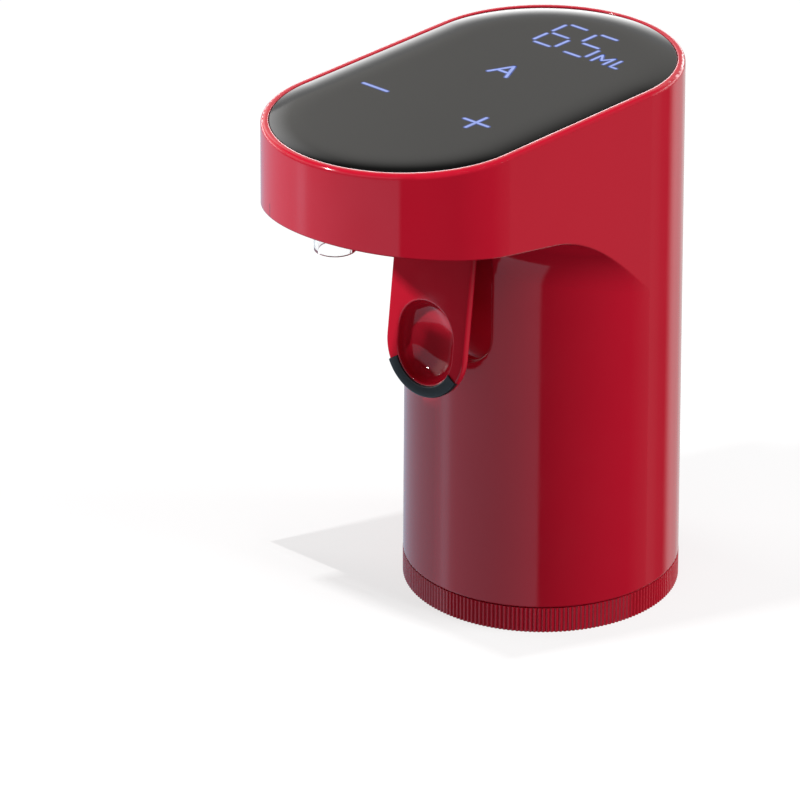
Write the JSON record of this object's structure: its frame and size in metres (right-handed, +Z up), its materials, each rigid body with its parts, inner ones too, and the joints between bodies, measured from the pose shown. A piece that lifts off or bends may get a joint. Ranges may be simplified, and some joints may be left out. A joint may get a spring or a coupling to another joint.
{
  "type": "wine preservation dispenser",
  "caption": "Bottle-top wine dispenser: a round column with a long flat head over the glass, a touch panel, a press trigger, a spout, and a neck socket with a stopper.",
  "frame": {"origin": "on the bottle's axis, at the foot of the knurled ring, which is the mouth of the neck guide bore", "axes": "+Z up along the bottle's axis, -Y towards the spout and the glass, +X to the right seen from the spout's side"},
  "size_m": [0.0506, 0.0877, 0.102],
  "materials": {
    "shell_red": "moulded, high gloss",
    "panel_black": "smoked, high gloss",
    "clear_plastic": "clear moulded",
    "bumper_black": "satin",
    "silicone_grey": "satin",
    "inner_plastic": "fine texture",
    "steel": "bright",
    "contact_brass": "nickel-dulled",
    "board_green": "solder mask",
    "digit_white": "diffusing",
    "ribbon_amber": "film",
    "cell_sleeve": "shrink film",
    "lead_red": "insulation",
    "hose_clear": "translucent"
  },
  "bodies": {
    "root": {"main_shell": "shell_red", "touch_panel": "panel_black", "panel_gasket": "bumper_black", "display_board": "board_green", "board_screws": "steel", "digit_module": "digit_white", "key_lamps": "digit_white", "touch_springs": "steel", "display_ribbon": "ribbon_amber", "trigger_pin": "steel", "trigger_spring": "steel", "trigger_switch": "inner_plastic", "trigger_board": "board_green", "switch_screws": "steel", "outlet_nozzle": "clear_plastic", "nozzle_seal": "silicone_grey", "wine_tube": "hose_clear", "stopper_core": "inner_plastic", "core_o_ring": "bumper_black", "silicone_stopper": "silicone_grey", "mouth_gasket": "silicone_grey", "base_housing": "inner_plastic", "chassis": "inner_plastic", "chassis_screws": "steel", "battery_cell": "cell_sleeve", "battery_contacts": "contact_brass", "battery_leads": "lead_red", "main_board": "board_green", "usb_port": "steel", "pump_motor": "steel", "pump_crankcase": "inner_plastic", "pump_diaphragm": "bumper_black", "pump_cap": "inner_plastic", "check_valve": "digit_white", "valve_body": "inner_plastic", "air_tube_upper": "hose_clear", "air_tube_lower": "hose_clear", "air_tube_stopper": "hose_clear"},
    "trigger": {"trigger_paddle": "shell_red", "trigger_bumper": "bumper_black"},
    "plunger": {"switch_plunger": "digit_white"},
    "ring": {"twist_ring": "shell_red"},
    "rotor": {"pump_rotor": "steel"},
    "armature": {"valve_armature": "steel"}
  },
  "joints": [
    {"name": "trigger_press", "type": "hinge", "parent": "root", "child": "trigger", "pos_m": [0, -0.0286, 0.086], "axis": [1, 0, 0], "range_deg": [0, 4.5], "stiffness_Nm_per_rad": 0.05, "springref_deg": -3.44, "deforming": ["trigger_spring"]},
    {"name": "plunger_slide", "type": "slide", "parent": "root", "child": "plunger", "axis": [0, 1, 0], "range_m": [0, 0.0016]},
    {"name": "ring_twist", "type": "hinge", "parent": "root", "child": "ring", "pos_m": [0, 0, 0.004], "axis": [0, 0, 1], "range_deg": [0, 30]},
    {"name": "pump_spin", "type": "hinge", "parent": "root", "child": "rotor", "pos_m": [0.01258, 0.00399, 0.056], "axis": [0, 0, 1], "continuous": true},
    {"name": "armature_lift", "type": "slide", "parent": "root", "child": "armature", "axis": [0, 0, 1], "range_m": [0, 0.001], "stiffness_N_per_m": 50, "springref_m": -0.002}
  ],
  "couplings": [
    {"joint": "plunger_slide", "follows": "trigger_press", "m_per_rad": 0.02}
  ]
}
